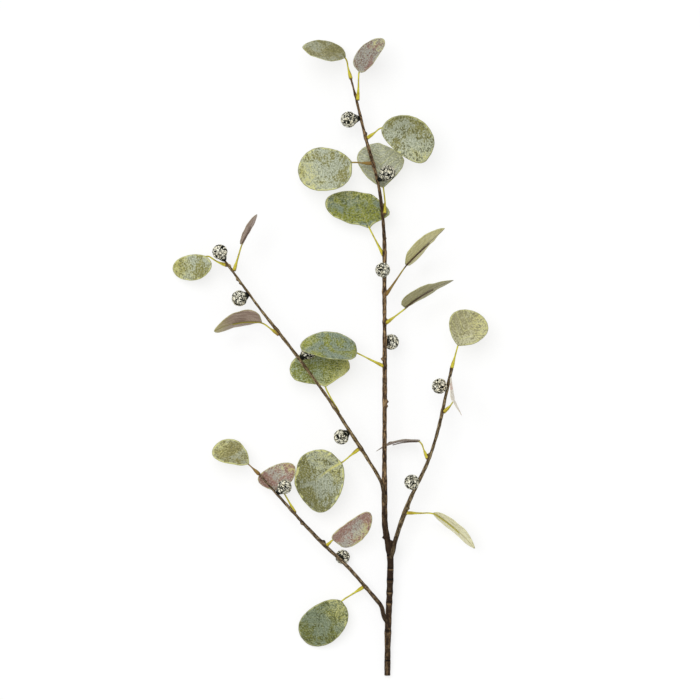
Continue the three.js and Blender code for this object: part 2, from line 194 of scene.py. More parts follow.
# Each blade, from leaf 1 on: its kind and brightness, the shares of frost, rim, spots, midrib and veins, its
# ripple in millimetres, and the side (degrees, 0 right, 90 up) and strength of its yellow glow and of its
# deeper tone. On leaf 10 the deeper tone is a painted shadow of leaf 9. On leaves 5, 7 and 15 the brightness
# is partly painted light, lifting leaves that the sun lights weakly: leaf 5 under others, the tilted leaf 7
# and the upright leaf 15.
LEAF_DEFAULTS = {
    "bright": 1,
    "frost": 0.5,
    "rim": 0.35,
    "spots": 0.4,
    "midrib": 0.12,
    "veins": 0.12,
    "ripple": 0.6,
    "glow": (0, 0),
    "deep_tone_and_painted_shadow": (0, 0),
}
LEAVES = [
    dict(kind="olive", frost=0.55, rim=0.2, glow=(200, 0.25), deep_tone_and_painted_shadow=(50, 0.5)),
    dict(kind="rose", bright=0.8, frost=0.75, rim=0.2, spots=0.7, midrib=0, glow=(60, 0.45)),
    dict(kind="frosted", bright=1.05, frost=0.95, rim=0.45, spots=0.8, glow=(285, 0.5), deep_tone_and_painted_shadow=(95, 0.8)),
    dict(kind="frosted", bright=1.1, frost=1, rim=0.6, midrib=0, glow=(205, 0.6), deep_tone_and_painted_shadow=(15, 0.5)),
    # Leaf 5: its brightness is partly painted light, lifting the shade of the leaves and stem over it
    dict(kind="plain", bright=1.32, rim=0.3, veins=0.4, spots=0.15, glow=(60, 0.3), deep_tone_and_painted_shadow=(230, 0.5)),
    dict(
        kind="vivid", bright=0.91, frost=0.45, rim=0.5, spots=0.7,
        midrib=0.3, ripple=1.5, glow=(100, 0.45), deep_tone_and_painted_shadow=(20, 0.3),
    ),
    # Leaf 7: its brightness is partly painted light, for a tilted leaf that the sun lights from the side
    dict(kind="olive", bright=1.45),
    dict(kind="olive", bright=0.8, frost=0.3),
    dict(kind="vivid", bright=1.02, frost=0.62, spots=0.5, ripple=0.8, glow=(150, 0.35)),
    # Leaf 10: its deeper tone is a painted shadow of leaf 9
    dict(kind="green", bright=1.4, frost=0.3, rim=0.6, ripple=1.5, glow=(330, 0.6), deep_tone_and_painted_shadow=(80, 0.5)),
    dict(kind="frosted", bright=1.15, frost=0.6, rim=0.5, glow=(195, 0.8), deep_tone_and_painted_shadow=(20, 0.4)),
    dict(kind="mauve", bright=1.5, rim=0.1),
    dict(kind="mauve", bright=1.18, rim=0.3, ripple=0.7, glow=(190, 0.5)),
    dict(kind="pale", bright=1.2, rim=0.3, spots=0.5, veins=0.45, glow=(20, 0.6), deep_tone_and_painted_shadow=(150, 0.8)),
    # Leaf 15: twice as bright, as painted light on an upright leaf that the sun lights from the side
    dict(kind="rose", bright=2, frost=0.9, rim=0.1, spots=0),
    dict(kind="mauve", bright=0.95, rim=0.1),
    dict(kind="pale", bright=1.5, rim=0.2),
    dict(
        kind="frosted", bright=0.92, frost=0.78, rim=0.75, spots=0.6,
        midrib=0.8, ripple=1.3, glow=(60, 0.5), deep_tone_and_painted_shadow=(215, 0.9),
    ),
    dict(kind="olive", bright=1.15, frost=0.6, rim=0.5, glow=(150, 0.4), deep_tone_and_painted_shadow=(330, 0.3)),
    dict(kind="rose", rim=0.3, ripple=0.7, glow=(80, 0.5), deep_tone_and_painted_shadow=(200, 0.6)),
    dict(kind="rose", bright=1.2, rim=0.4, ripple=0.7, midrib=0, glow=(325, 0.5), deep_tone_and_painted_shadow=(130, 0.3)),
    dict(kind="green", bright=0.88, frost=0.42, rim=0.3, spots=0.6, glow=(50, 0.5), deep_tone_and_painted_shadow=(270, 0.2)),
]


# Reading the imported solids


def welded(node):
    """The node's points, each once, and for each point the set of its neighbours."""
    mesh = node.data
    co = np.array([v.co for v in mesh.vertices])
    points, index = np.unique(np.round(co, 5), axis=0, return_inverse=True)
    index = index.reshape(-1)
    neighbours = [set() for _ in points]
    for polygon in mesh.polygons:
        corners = [int(index[i]) for i in polygon.vertices]
        for a, b in zip(corners, corners[1:] + corners[:1]):
            if a != b:
                neighbours[a].add(b)
                neighbours[b].add(a)
    return points, neighbours


def poles(points, neighbours):
    """The end points of a capped tube: all round each of them is the edge of its cap, where 5 edges meet."""
    return [i for i in range(len(points)) if all(len(neighbours[j]) == 5 for j in neighbours[i])]


def tube_rings(node, start_near):
    """The middle and the radius of each ring of a tube, from the end that start_near(point) is least for."""
    points, neighbours = welded(node)
    first = min(poles(points, neighbours), key=lambda i: start_near(points[i]))
    seen = {first}
    level = neighbours[first]
    centres, radii = [], []
    while len(level) > 1:
        ring = points[sorted(level)]
        centre = ring.mean(0)
        centres.append(centre)
        radii.append(np.linalg.norm(ring - centre, axis=1).mean())
        seen |= level
        level = {k for j in level for k in neighbours[j]} - seen
    return np.array(centres), np.array(radii)


def ball_and_neck(node, start_near):
    """The ball's middle and radius, and the end of its neck."""
    points, neighbours = welded(node)
    sides = max(len(n) for n in neighbours)
    ends = [i for i, n in enumerate(neighbours) if len(n) == sides]
    neck = points[min(ends, key=lambda i: start_near(points[i]))]
    far_first = np.argsort(-np.linalg.norm(points - neck, axis=1))
    ball = points[far_first[: len(points) - sides - 1]]
    solved = np.linalg.lstsq(np.c_[2 * ball, np.ones(len(ball))], (ball**2).sum(1), rcond=None)[0]
    centre = solved[:3]
    return centre, math.sqrt(solved[3] + centre @ centre), neck


# Shapes


def unit(v):
    return v / np.linalg.norm(v, axis=-1, keepdims=True)


def resampled(points, values, step):
    """A smooth curve through the points at about that step, and its values."""
    padded = np.vstack([2 * points[0] - points[1], points, 2 * points[-1] - points[-2]])
    fine, fine_values = [points[0]], [values[0]]
    for i in range(len(points) - 1):
        a, b, c, d = padded[i : i + 4]
        count = max(1, round(np.linalg.norm(c - b) / step))
        for k in range(1, count + 1):
            t = k / count
            cubic = 3 * b - a - 3 * c + d
            square = 2 * a - 5 * b + 4 * c - d
            fine.append(b + (t * (c - a) + t**2 * square + t**3 * cubic) / 2)
            fine_values.append(values[i] + t * (values[i + 1] - values[i]))
    return np.array(fine), np.array(fine_values)


def carried_frames(points, side):
    """Two directions across the curve at each point, carried along it without twist, the first near side."""
    along = unit(np.gradient(points, axis=0))
    across = [unit(side - along[0] * (side @ along[0]))]
    for tangent in along[1:]:
        across.append(unit(across[-1] - tangent * (across[-1] @ tangent)))
    across = np.array(across)
    return across, np.cross(along, across)


def make_object(name, points, faces, attributes, material, replaced):
    """A smooth-shaded piece of the object that stands for the replaced CAD node. attributes are per point."""
    mesh = bpy.data.meshes.new(name)
    mesh.from_pydata([tuple(p) for p in points], [], faces)
    for key, values in attributes.items():
        values = np.asarray(values, np.float32)
        is_vector = values.ndim == 2
        attribute = mesh.attributes.new(key, "FLOAT_VECTOR" if is_vector else "FLOAT", "POINT")
        attribute.data.foreach_set("vector" if is_vector else "value", values.reshape(-1))
    mesh.shade_smooth()
    mesh.materials.append(material)
    obj = bpy.data.objects.new(name, mesh)
    bpy.context.scene.collection.objects.link(obj)
    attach(obj, "root")
    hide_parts(replaced)


def tube_mesh(curve, radii, side, sides, relief):
    """Points and faces of a closed tube, with each point's direction round it and its length along it in mm.

    relief(length, angle), in metres, stands out of it.
    """
    across, up = carried_frames(curve, side)
    lengths = np.r_[0, np.cumsum(np.linalg.norm(np.diff(curve, axis=0), axis=1))]
    angles = np.linspace(0, 2 * np.pi, sides, endpoint=False)
    grid_length, grid_angle = np.meshgrid(lengths, angles, indexing="ij")
    out = radii[:, None] + relief(grid_length, grid_angle)
    ring = across[:, None] * np.cos(grid_angle)[..., None] + up[:, None] * np.sin(grid_angle)[..., None]
    points = (curve[:, None] + out[..., None] * ring).reshape(-1, 3)
    round_mm = np.stack([np.cos(grid_angle), np.sin(grid_angle), grid_length / MM], -1).reshape(-1, 3)
    faces = []
    for i in range(len(curve) - 1):
        for j in range(sides):
            k = (j + 1) % sides
            faces.append((i * sides + j, i * sides + k, (i + 1) * sides + k, (i + 1) * sides + j))
    faces.append(tuple(range(sides))[::-1])
    last = (len(curve) - 1) * sides
    faces.append(tuple(range(last, last + sides)))
    return points, faces, round_mm


def bump(distance, width):
    """1 at no distance, falling smoothly to 0 at the width."""
    return np.cos(np.clip(np.abs(distance) / width, 0, 1) * np.pi / 2) ** 2


# Materials


def rgb(code, bright=1):
    """An sRGB hex code as linear red, green, blue and alpha."""
    values = [int(code[i : i + 2], 16) / 255 for i in (0, 2, 4)]
    linear = [v / 12.92 if v <= 0.04045 else ((v + 0.055) / 1.055) ** 2.4 for v in values]
    return (*(bright * v for v in linear), 1)


class Nodes:
    """Builds a material's node tree. All methods but put and finish add nodes and return an output."""

    def __init__(self, name, roughness, sheen=0, specular=0.35):
        self.material = bpy.data.materials.new(name)
        self.material.use_nodes = True
        self.tree = self.material.node_tree
        self.shader = self.tree.nodes["Principled BSDF"]
        self.shader.inputs["Roughness"].default_value = roughness
        self.shader.inputs["Sheen Weight"].default_value = sheen
        self.shader.inputs["Specular IOR Level"].default_value = specular

    def put(self, value, socket):
        if isinstance(value, bpy.types.NodeSocket):
            self.tree.links.new(value, socket)
        else:
            socket.default_value = value

    def attribute(self, name):
        node = self.tree.nodes.new("ShaderNodeAttribute")
        node.attribute_name = name
        return node.outputs["Vector"]

    def axis(self, vector, letter):
        node = self.tree.nodes.new("ShaderNodeSeparateXYZ")
        self.put(vector, node.inputs[0])
        return node.outputs[letter]

    def scaled(self, vector, scale, offset):
        node = self.tree.nodes.new("ShaderNodeMapping")
        self.put(vector, node.inputs["Vector"])
        node.inputs["Scale"].default_value = scale
        node.inputs["Location"].default_value = offset
        return node.outputs[0]

    def math(self, operation, *values):
        node = self.tree.nodes.new("ShaderNodeMath")
        node.operation = operation
        for value, socket in zip(values, node.inputs):
            self.put(value, socket)
        return node.outputs[0]

    def rise(self, value, low, high):
        """0 at low and 1 at high, smooth between; low may be above high."""
        node = self.tree.nodes.new("ShaderNodeMapRange")
        node.interpolation_type = "SMOOTHSTEP"
        self.put(value, node.inputs["Value"])
        turned = low > high
        node.inputs["From Min"].default_value = min(low, high)
        node.inputs["From Max"].default_value = max(low, high)
        node.inputs["To Min"].default_value = float(turned)
        node.inputs["To Max"].default_value = float(not turned)
        return node.outputs[0]

    def noise(self, vector, scale, detail=2, distortion=0):
        node = self.tree.nodes.new("ShaderNodeTexNoise")
        self.put(vector, node.inputs["Vector"])
        node.inputs["Scale"].default_value = scale
        node.inputs["Detail"].default_value = detail
        node.inputs["Distortion"].default_value = distortion
        return node.outputs["Fac"]

    def cells(self, vector, scale):
        node = self.tree.nodes.new("ShaderNodeTexVoronoi")
        self.put(vector, node.inputs["Vector"])
        node.inputs["Scale"].default_value = scale
        return node.outputs["Distance"]

    def mix(self, share, a, b):
        node = self.tree.nodes.new("ShaderNodeMix")
        node.data_type = "RGBA"
        self.put(share, node.inputs[0])
        self.put(rgb(a) if isinstance(a, str) else a, node.inputs[6])
        self.put(rgb(b) if isinstance(b, str) else b, node.inputs[7])
        return node.outputs[2]

    def lay(self, colour, share, most, over):
        """The colour with another one laid over it, by a share that is scaled by most."""
        return self.mix(self.math("MULTIPLY", share, most), colour, over)

    def finish(self, colour, height, strength, distance_mm):
        """Sets the colour and the bump."""
        self.put(colour, self.shader.inputs["Base Color"])
        node = self.tree.nodes.new("ShaderNodeBump")
        node.inputs["Strength"].default_value = strength
        node.inputs["Distance"].default_value = distance_mm * MM
        self.put(height, node.inputs["Height"])
        self.put(node.outputs[0], self.shader.inputs["Normal"])
        return self.material


def bark_material(name, tone, offset):
    """Brown bark with fibres along it, darker low on the stem and at a shoot's root, with a painted shadow
    under leaf 5 on the main stem.
    """
    nodes = Nodes(f"bark_{name}", 0.8, specular=0.12)
    place = nodes.attribute("round_mm")
    fibres = nodes.noise(nodes.scaled(place, (1.6, 1.6, 0.14), (offset, 0, 0)), 1, 3)
    blotches = nodes.noise(nodes.scaled(place, (0.8, 0.8, 0.13), (0, offset, 0)), 1, 3)
    flecks = nodes.noise(nodes.scaled(place, (1.5, 1.5, 0.42), (0, 0, offset)), 1, 2)
    colour = nodes.mix(nodes.rise(fibres, 0.4, 0.6), tone["dark"], tone["mid"])
    light = nodes.math("MULTIPLY", nodes.rise(blotches, 0.42, 0.62), nodes.rise(fibres, 0.42, 0.6))
    colour = nodes.mix(light, colour, tone["light"])
    colour = nodes.lay(colour, nodes.rise(flecks, 0.52, 0.64), 0.7, tone["dark"])
    colour = nodes.lay(colour, nodes.rise(flecks, 0.44, 0.34), 0.5, tone["light"])
    along = nodes.axis(place, "Z")
    if name == "main_stem":
        most = nodes.math("ADD", nodes.math("MULTIPLY", nodes.rise(along, *WEAKER_BELOW_MM), 0.3), 0.65)
        aged = nodes.math("MULTIPLY", nodes.rise(along, *AGED_TRUNK_MM), most)
        # Painted shadow under leaf 5: the main stem darkens round this height
        joint = nodes.math("ABSOLUTE", nodes.math("SUBTRACT", along, PAINTED_SHADOW_MM))
        painted_shadow = nodes.math("MULTIPLY", nodes.rise(joint, *PAINTED_SHADOW_SPREAD_MM), 0.6)
        dark = nodes.math("MAXIMUM", aged, painted_shadow)
    else:
        dark = nodes.math("MULTIPLY", nodes.rise(along, *AGED_SHOOT_MM), 0.7)
    colour = nodes.mix(dark, colour, BARK_AGED_AND_SHADOW)
    # The rings attribute: a painted highlight ring at each wrap, and a dark line above it
    rings = nodes.axis(nodes.attribute("rings"), "X")
    painted_wrap_highlight = nodes.math("MULTIPLY", nodes.rise(rings, 0, 1), nodes.rise(fibres, 0.35, 0.6))
    colour = nodes.lay(colour, painted_wrap_highlight, 0.5, tone["light"])
    colour = nodes.mix(nodes.rise(rings, 0, -0.8), colour, BARK_LINE)
    height = nodes.math("ADD", fibres, nodes.math("MULTIPLY", flecks, 0.6))
    return nodes.finish(colour, height, 0.8, 0.6)


def stalk_material(name, brown, spine, spine_from, offset):
    """Yellow moulded plastic, brown at its root. The spine under the blade may have a colour of its own."""
    nodes = Nodes(f"stalk_{name}", 0.45, specular=0.2)
    place = nodes.attribute("round_mm")
    along = nodes.axis(place, "Z")
    patches = nodes.noise(nodes.scaled(place, (0.7, 0.7, 0.16), (offset, 0, 0)), 1, 3)
    fine = nodes.noise(nodes.scaled(place, (1.5, 1.5, 0.9), (0, offset, 0)), 1, 2)
    colour = nodes.mix(nodes.rise(patches, 0.42, 0.62), STALK_TONES["yellow"], STALK_TONES["olive"])
    colour = nodes.lay(colour, nodes.rise(fine, 0.52, 0.64), 0.4, STALK_TONES["light"])
    colour = nodes.lay(colour, nodes.rise(along, 14, 4), 0.3, STALK_TONES["collar"])
    colour = nodes.mix(nodes.rise(along, 2, 0.5), colour, STALK_TONES["root"])
    if brown > 0:
        spread = nodes.math("ADD", along, nodes.math("MULTIPLY", patches, 16))
        browned = nodes.rise(spread, 8 + 50 * brown, 4 + 22 * brown)
        colour = nodes.lay(colour, browned, 0.85, STALK_TONES["brown"])
    if spine is not None:
        colour = nodes.mix(nodes.rise(along, spine_from - 2, spine_from + 4), colour, spine)
    return nodes.finish(colour, fine, 0.35, 0.3)


def seed_material():
    """Near black, with cream squiggles over the lumps; they fade towards the ball's underside as painted
    light from above.
    """
    nodes = Nodes("seed_head_speckles", 0.75, specular=0.12)
    place = nodes.attribute("ball_mm")
    # The lump attribute also holds painted light from above: it is weaker low on the ball
    lump = nodes.axis(nodes.attribute("lump"), "X")
    worms = nodes.noise(place, 0.23, 1, 1.5)
    lines = nodes.rise(nodes.math("ABSOLUTE", nodes.math("SUBTRACT", worms, 0.5)), 0.08, 0.058)
    dots = nodes.rise(nodes.cells(place, 0.3), 0.38, 0.3)
    pale = nodes.math("MAXIMUM", lines, dots)
    pale = nodes.math("MULTIPLY", pale, nodes.rise(lump, 0.2, 0.7))
    tint = nodes.noise(place, 0.2, 2)
    ground = nodes.mix(nodes.rise(tint, 0.4, 0.62), *SEED_TONES["ground"])
    cream = nodes.mix(nodes.rise(tint, 0.35, 0.7), *SEED_TONES["cream"])
    colour = nodes.mix(pale, ground, cream)
    return nodes.finish(colour, pale, 0.8, 0.5)


def leaf_material(name, look, spine, offset):
    """Printed cloth: frost, olive patches, dark spots, veins and a broken yellow rim; streaked below."""
    # The brightness scales all the leaf's tones; on leaves 5, 7 and 15 it is partly painted light
    tones = {key: rgb(code, look["bright"]) for key, code in LEAF_KINDS[look["kind"]].items()}
    nodes = Nodes(f"leaf_{name}", 0.62, sheen=0.15)
    place = nodes.attribute("leaf_mm")
    flat = nodes.scaled(place, (1, 1, 0), (offset, offset * 0.37, 0))
    across = nodes.math("ABSOLUTE", nodes.axis(place, "X"))
    along = nodes.axis(place, "Y")
    inside = nodes.axis(place, "Z")
    sides = nodes.attribute("sides")
    glow = nodes.axis(sides, "X")
    # The deeper tone: a side of the leaf in a darker tone of its own, and on leaf 10 a painted shadow of leaf
    # 9
    deep_tone_and_painted_shadow = nodes.axis(sides, "Y")
    under = nodes.axis(sides, "Z")

    # Frost over the leaf's own colour, with pale threads and dark spots
    patches = nodes.noise(flat, 0.05, 4, 0.5)
    clumps = nodes.noise(flat, 0.13, 3, 1.2)
    grain = nodes.noise(flat, 0.62, 1, 0.5)
    threads = nodes.noise(nodes.scaled(place, (0.5, 0.75, 0), (0, offset, 0)), 1, 1)
    cover = nodes.math("ADD", patches, nodes.math("MULTIPLY", clumps, 0.5))
    cover = nodes.math("ADD", cover, nodes.math("MULTIPLY", grain, 0.3))
    cover = nodes.math("SUBTRACT", cover, nodes.math("MULTIPLY", deep_tone_and_painted_shadow, 0.2))
    edge = 0.9 + 0.25 * (0.5 - look["frost"])
    top = nodes.mix(nodes.rise(cover, edge - 0.07, edge + 0.07), tones["leaf"], tones["frost"])
    top = nodes.lay(top, nodes.rise(threads, 0.5, 0.62), 0.5, tones["light"])
    top = nodes.lay(top, nodes.rise(grain, 0.5, 0.38), 0.5, tones["spot"])
    spotted = nodes.math("MULTIPLY", nodes.rise(clumps, 0.5, 0.42), nodes.rise(grain, 0.56, 0.46))
    top = nodes.lay(top, spotted, look["spots"], tones["spot"])
    top = nodes.lay(top, deep_tone_and_painted_shadow, 0.45, tones["spot"])

    # Slanting veins and the midrib
    vein_place = nodes.math("SUBTRACT", along, nodes.math("MULTIPLY", across, VEIN_SLOPE))
    vein_place = nodes.math("ADD", nodes.math("DIVIDE", vein_place, VEIN_SPACING_MM), patches)
    vein_share = nodes.math("ABSOLUTE", nodes.math("SUBTRACT", nodes.math("FRACT", vein_place), 0.5))
    veins = nodes.rise(vein_share, 0.07, 0.02)
    width = 0.6 + 1.5 * look["midrib"]
    midrib = nodes.math("MULTIPLY", nodes.rise(across, width, 0.3 * width), nodes.rise(along, 40, 6))
    top = nodes.lay(top, veins, look["veins"], RIM)
    top = nodes.lay(top, midrib, look["midrib"], GLOW)

    # The yellow glow towards one side, and the broken rim
    lit = nodes.math("MULTIPLY", nodes.math("SUBTRACT", nodes.math("ADD", clumps, grain), 1), 1.3)
    lit = nodes.math("MULTIPLY", nodes.math("ADD", glow, lit), nodes.rise(glow, 0, 0.25))
    top = nodes.lay(top, nodes.rise(lit, 0.2, 0.8), 0.65, GLOW)
    spread = nodes.math("ADD", nodes.math("MULTIPLY", nodes.math("SUBTRACT", clumps, 0.42), 14), 0.2)
    rag = nodes.math("SUBTRACT", inside, nodes.math("MULTIPLY", spread, look["rim"]))
    rimmed = nodes.math("MULTIPLY", nodes.rise(rag, 1.1, 0.2), 0.3 + 0.6 * look["rim"])
    top = nodes.mix(rimmed, top, RIM)

    # The underside
    streaks = nodes.noise(nodes.scaled(place, (0.55, 0.06, 0), (offset, 0, 0)), 1, 3)
    below = nodes.lay(tones["under"], nodes.rise(streaks, 0.45, 0.6), 0.7, tones["light"])
    below = nodes.lay(below, nodes.rise(streaks, 0.48, 0.36), 0.35, tones["spot"])
    below = nodes.lay(below, veins, 0.3, tones["spot"])
    below = nodes.lay(below, nodes.rise(grain, 0.5, 0.4), 0.25, tones["spot"])
    below = nodes.lay(below, nodes.rise(glow, 0.1, 0.6), 0.6, GLOW)
    below = nodes.lay(below, nodes.rise(inside, 1.6, 0.4), look["rim"], RIM)
    if spine is not None:
        below = nodes.mix(nodes.rise(across, 1.1, 0.5), below, spine)

    relief = nodes.math("ADD", nodes.math("MULTIPLY", grain, 0.35), nodes.math("MULTIPLY", threads, 0.25))
    relief = nodes.math("SUBTRACT", relief, nodes.math("MULTIPLY", veins, 0.35))
    relief = nodes.math("SUBTRACT", relief, nodes.math("MULTIPLY", midrib, 0.5))
    return nodes.finish(nodes.mix(under, top, below), relief, 0.55, 0.5)


# Pieces


def stem_piece(name, rings, trunk, joints, height_zero, offset):
    """A stem with ridged bark, knobs, wraps and swollen joints. A side shoot starts inside the trunk."""
    centres, radii = rings
    if trunk is not None:
        root = trunk[np.argmin(np.abs(trunk[:, 1] - centres[0, 1] + STEM_ROOT_MM * MM))]
        centres = np.vstack([root, centres])
        radii = np.r_[radii[0], np.maximum(radii[:1], radii[1] * STEM_ROOT_SHARE), radii[1:]]
    curve, radii = resampled(centres, radii, STEM_STEP_MM * MM)
    heights = curve[:, 1] - height_zero
    generator = np.random.default_rng(offset)
    phases = generator.uniform(0, 2 * np.pi, 6)

    def relief(length, angle):
        along = length / MM
        ridges = RIDGES_MM[0] * np.cos(5 * angle + phases[0] + 0.012 * along)
        ridges = ridges + RIDGES_MM[1] * np.cos(8 * angle + phases[1])
        swells = SWELLS_MM[0] * np.sin(along / 21 + phases[2])
        swells = swells + SWELLS_MM[1] * np.sin(along / 8.3 + phases[3])
        nicks = NICKS_MM * np.sin(along / 2.3 + 3 * np.sin(2 * angle + phases[4]) + 2 * np.sin(along / 13))
        out = ridges + swells + nicks
        if trunk is not None:
            out = out + ROOT_SWELL_MM * bump(along, ROOT_SWELL_WIDTH_MM)
        for joint in joints:
            if np.linalg.norm(curve - joint, axis=1).min() < JOINT_REACH_MM * MM:
                out = out + JOINT_SWELL_MM * bump((curve[:, 1, None] - joint[1]) / MM, JOINT_SWELL_WIDTH_MM)
        if trunk is None:
            for at, width, size in WRAPS_MM:
                out = out + size * bump(heights[:, None] / MM - at, width)
        for stem, at, side, size, width in KNOBS_MM:
            if stem != name:
                continue
            turn = (angle - math.radians(side) + np.pi) % (2 * np.pi) - np.pi
            off = np.hypot(heights[:, None] / MM - at, KNOB_RADIUS_MM * turn)
            out = out + size * bump(off, width)
        return out * MM

    points, faces, round_mm = tube_mesh(curve, radii, np.array([1, 0, 0]), STEM_SIDES, relief)
    bands = np.zeros(len(curve))
    if trunk is None:
        # Painted highlight: a light ring at each wrap, with a dark line above it
        for at, _, _ in WRAPS_MM:
            light = bump(heights / MM - at, WRAP_HIGHLIGHT_WIDTH_MM)
            dark = bump(heights / MM - at - WRAP_DARK_ABOVE_MM, WRAP_DARK_WIDTH_MM)
            bands += light - dark
    attributes = {"round_mm": round_mm, "rings": np.repeat(bands, STEM_SIDES)}
    material = bark_material(name, STEM_TONES[name], offset)
    make_object(f"{name}_bark", points, faces, attributes, material, name)


def stalk_piece(number, rings, spine_from, from_wood):
    """A leaf's stalk, with a swollen collar in the stem. spine_from is its length in mm to the blade."""
    centres, radii = rings
    back = unit(centres[0] - centres[1])
    added = np.arange(1, STALK_REACH_MM, 0.5)
    gaps = np.array([from_wood(centres[0] + mm * MM * back) for mm in added])
    reached = added[np.argmax((gaps < STALK_ROOT_MM * MM) | (gaps == gaps.min()))]
    centres = np.vstack([centres[0] + reached * MM * back, centres])
    spine_from += reached
    radii = np.r_[radii[0], radii]
    curve, radii = resampled(centres, radii, STALK_STEP_MM * MM)
    phase = number * 1.7

    def relief(length, angle):
        along = length / MM
        out = 0
        for at, width, size in STALK_BUMPS_MM:
            out = out + size * bump(along - at, width)
        ridges = STALK_RIDGES_MM[0] * np.cos(3 * angle + phase)
        waves = STALK_RIDGES_MM[1] * np.sin(along / 3.1 + phase)
        return (out + (ridges + waves)) * MM

    side = np.array([0.3, 0.2, 0.93])
    points, faces, round_mm = tube_mesh(curve, radii, side, STALK_SIDES, relief)
    brown = BROWN_STALKS.get(number, 0)
    material = stalk_material(f"{number:02d}", brown, SPINES.get(number), spine_from, number * 3.1)
    name = f"leaf_stalk_{number:02d}"
    make_object(f"moulded_{name}", points, faces, {"round_mm": round_mm}, material, name)


def seed_piece(number, centre, radius, neck, material):
    """A lumpy ball that tapers into its neck."""
    bm = bmesh.new()
    bmesh.ops.create_icosphere(bm, subdivisions=SEED_DETAIL, radius=1)
    directions = unit(np.array([v.co for v in bm.verts]))
    faces = [tuple(v.index for v in f.verts) for f in bm.faces]
    bm.free()
    generator = np.random.default_rng(SEED_HEAD_SEED + number)
    k = np.arange(SEED_LUMPS) + 0.5
    polar, turn = np.arccos(1 - 2 * k / SEED_LUMPS), np.pi * (1 + math.sqrt(5)) * k
    middles = np.c_[np.cos(turn) * np.sin(polar), np.sin(turn) * np.sin(polar), np.cos(polar)]
    middles = unit(middles + generator.normal(0, LUMP_SCATTER, middles.shape))
    nearness = np.sort(directions @ middles.T, axis=1)
    spread = np.arccos(np.clip(nearness[:, -1], -1, 1))
    rival = np.arccos(np.clip(nearness[:, -2], -1, 1))
    lump = np.clip((rival - spread) / LUMP_EDGE, 0, 1) ** 0.6
    out = radius - SEED_LUMP_MM * MM * LUMP_SUNK + SEED_LUMP_MM * MM * lump
    points = centre + directions * out[:, None]

    to_neck = neck - centre
    reach = np.linalg.norm(to_neck) + NECK_PAST_END_MM * MM
    to_neck = unit(to_neck)
    off = np.arccos(np.clip(directions @ to_neck, -1, 1))
    sideways = unit(directions - to_neck * (directions @ to_neck)[:, None] + 1e-9)
    share = np.clip(1 - off / NECK_SPREAD, 0, 1)
    cone = np.clip(share / NECK_CONE, 0, 1)
    cap = np.clip((1 - share) / (1 - NECK_CONE), 0, 1)
    wide = radius * math.sin(NECK_SPREAD)
    from_axis = (wide + (NECK_END_MM * MM - wide) * cone**0.8) * cap
    along = radius * math.cos(NECK_SPREAD) + (reach - radius * math.cos(NECK_SPREAD)) * cone
    necked = centre + to_neck * along[:, None] + sideways * from_axis[:, None]
    points = np.where(share[:, None] > 0, necked, points)
    # Painted light from above: the cream squiggles grow fainter towards the ball's underside
    painted_top_light = 0.6 + 0.4 * np.clip(1.4 * directions[:, 2] + 0.3, 0, 1)
    attributes = {
        "ball_mm": (points - centre) / MM + generator.uniform(0, 90, 3),
        "lump": lump * np.clip(1 - 1.3 * share, 0, 1) * painted_top_light,
    }
    name = f"seed_head_{number:02d}"
    make_object(f"speckled_{name}", points, faces, attributes, material, name)


